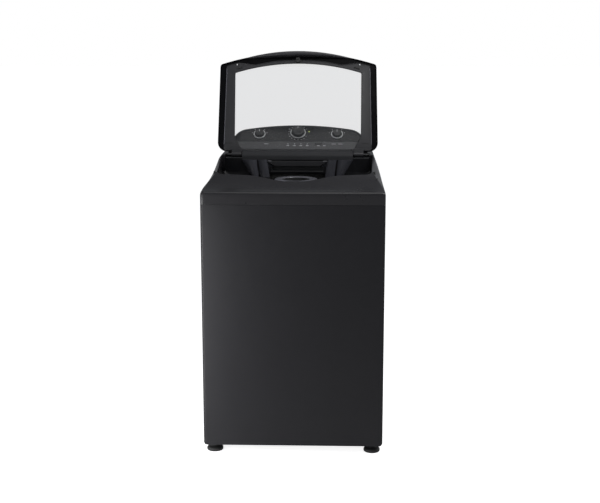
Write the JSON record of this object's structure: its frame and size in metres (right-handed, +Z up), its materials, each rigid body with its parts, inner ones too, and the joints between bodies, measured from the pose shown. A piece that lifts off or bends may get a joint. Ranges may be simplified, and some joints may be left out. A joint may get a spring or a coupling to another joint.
{
  "type": "top load washing machine",
  "caption": "Top load washer with dark steel cabinet, framed glass lid on a rear hinge, sloped dial console, and a hung tub with basket and agitator.",
  "frame": {"origin": "on the floor, on the tub axis, in the middle of the cabinet's footprint", "axes": "+Z up, front towards -Y, +X to the viewer's right"},
  "size_m": [0.62, 0.65, 1.3681],
  "materials": {
    "painted_steel": "satin dark grey paint over steel sheet",
    "galvanised_steel": "dull zinc-coated steel",
    "gloss_cover": "glossy dark grey moulded plastic",
    "dark_plastic": "fine-grained black plastic",
    "grey_plastic": "fine-grained dark grey plastic",
    "light_plastic": "pale natural plastic",
    "black_gloss": "deep black gloss plastic",
    "panel_gloss": "gloss-coated control panel",
    "bright_trim": "satin chrome plating",
    "lens": "clear yellow-green lamp lens",
    "rubber": "black rubber",
    "stainless": "brushed stainless steel",
    "cast_aluminium": "as-cast aluminium",
    "machined_steel": "turned steel",
    "copper_winding": "lacquered copper wire on steel teeth",
    "circuit_board": "green solder mask",
    "tinted_glass": "toughened grey-tinted glass"
  },
  "bodies": {
    "cabinet": {"cabinet_shell": "painted_steel", "rear_panel": "galvanised_steel", "base_frame": "dark_plastic", "corner_braces": "galvanised_steel", "top_cover": "gloss_cover", "throat_liner": "dark_plastic", "hinge_cover": "grey_plastic", "hinge_pins": "machined_steel", "lid_lock": "dark_plastic", "lid_bumpers": "rubber", "dispenser_housing": "dark_plastic", "console_housing": "gloss_cover", "console_panel": "panel_gloss", "control_board": "circuit_board", "knob_encoders": "grey_plastic", "indicator_lenses": "lens", "inlet_valve": "light_plastic", "fill_duct": "light_plastic", "suspension_rods": "machined_steel", "suspension_springs": "machined_steel", "foot_pads": "rubber", "foot_studs": "machined_steel", "foot_lock_nuts": "machined_steel", "pump_housing": "light_plastic", "pump_motor": "grey_plastic", "drain_pipe": "dark_plastic", "drain_outlet": "grey_plastic", "cord_gland": "rubber", "cabinet_screws": "machined_steel", "sump_bellows": "rubber"},
    "tub": {"outer_tub": "light_plastic", "tub_cover": "light_plastic", "bearing_housing": "cast_aluminium", "tub_bearings": "machined_steel", "tub_seal": "rubber", "stator": "copper_winding"},
    "basket": {"basket": "stainless", "balance_ring": "light_plastic", "basket_hub": "cast_aluminium", "spin_tube": "machined_steel"},
    "clutch": {"clutch_sleeve": "grey_plastic"},
    "agitator": {"drive_shaft": "machined_steel", "agitator_base": "dark_plastic", "agitator_auger": "dark_plastic", "rotor": "galvanised_steel"},
    "softener_cup": {"softener_cup": "grey_plastic"},
    "lid": {"lid_outer_shell": "black_gloss", "lid_inner_frame": "grey_plastic", "lid_glass": "tinted_glass", "lid_strike": "dark_plastic"},
    "lock_bolt": {"lock_bolt": "machined_steel"},
    "dispenser_drawer": {"dispenser_drawer": "grey_plastic"},
    "start_button": {"start_button": "panel_gloss"},
    "pump_impeller": {"pump_impeller": "light_plastic"},
    "programme_dial": {"programme_dial_cap": "black_gloss", "programme_dial_ring": "bright_trim"},
    "left_knob": {"left_knob_cap": "black_gloss", "left_knob_ring": "bright_trim"},
    "right_knob": {"right_knob_cap": "black_gloss", "right_knob_ring": "bright_trim"}
  },
  "joints": [
    {"name": "lid_hinge", "type": "hinge", "parent": "cabinet", "child": "lid", "pos_m": [0, 0.17, 0.988], "axis": [1, 0, 0], "range_deg": [0, 110.45]},
    {"name": "tub_bounce", "type": "slide", "parent": "cabinet", "child": "tub", "axis": [0, 0, 1], "range_m": [-0.015, 0.015], "stiffness_N_per_m": 12000, "springref_m": 0.03867, "deforming": ["suspension_springs", "sump_bellows"]},
    {"name": "basket_spin", "type": "hinge", "parent": "tub", "child": "basket", "pos_m": [0, 0, 0.5], "axis": [0, 0, 1], "continuous": true},
    {"name": "agitator_spin", "type": "hinge", "parent": "tub", "child": "agitator", "pos_m": [0, 0, 0.4], "axis": [0, 0, 1], "continuous": true},
    {"name": "clutch_slide", "type": "slide", "parent": "basket", "child": "clutch", "axis": [0, 0, -1], "range_m": [0, 0.004]},
    {"name": "softener_cup_lift", "type": "slide", "parent": "agitator", "child": "softener_cup", "axis": [0, 0, -1], "range_m": [-0.11, 0]},
    {"name": "programme_dial_turn", "type": "hinge", "parent": "cabinet", "child": "programme_dial", "pos_m": [-0.001, 0.26832, 1.05967], "axis": [0, -0.6858, 0.7278], "continuous": true},
    {"name": "left_knob_turn", "type": "hinge", "parent": "cabinet", "child": "left_knob", "pos_m": [-0.147, 0.26286, 1.05452], "axis": [0, -0.6858, 0.7278], "range_deg": [-135, 135]},
    {"name": "right_knob_turn", "type": "hinge", "parent": "cabinet", "child": "right_knob", "pos_m": [0.147, 0.26286, 1.05452], "axis": [0, -0.6858, 0.7278], "range_deg": [-135, 135]},
    {"name": "start_button_press", "type": "slide", "parent": "cabinet", "child": "start_button", "axis": [0, 0.6858, -0.7278], "range_m": [0, 0.0015], "stiffness_N_per_m": 600},
    {"name": "dispenser_drawer_slide", "type": "slide", "parent": "cabinet", "child": "dispenser_drawer", "axis": [0, 1, 0], "range_m": [-0.08, 0]},
    {"name": "lock_bolt_slide", "type": "slide", "parent": "cabinet", "child": "lock_bolt", "axis": [0, 1, 0], "range_m": [0, 0.0125]},
    {"name": "pump_impeller_spin", "type": "hinge", "parent": "cabinet", "child": "pump_impeller", "pos_m": [0.15, 0.11, 0.12], "axis": [0, 0, 1], "continuous": true}
  ]
}
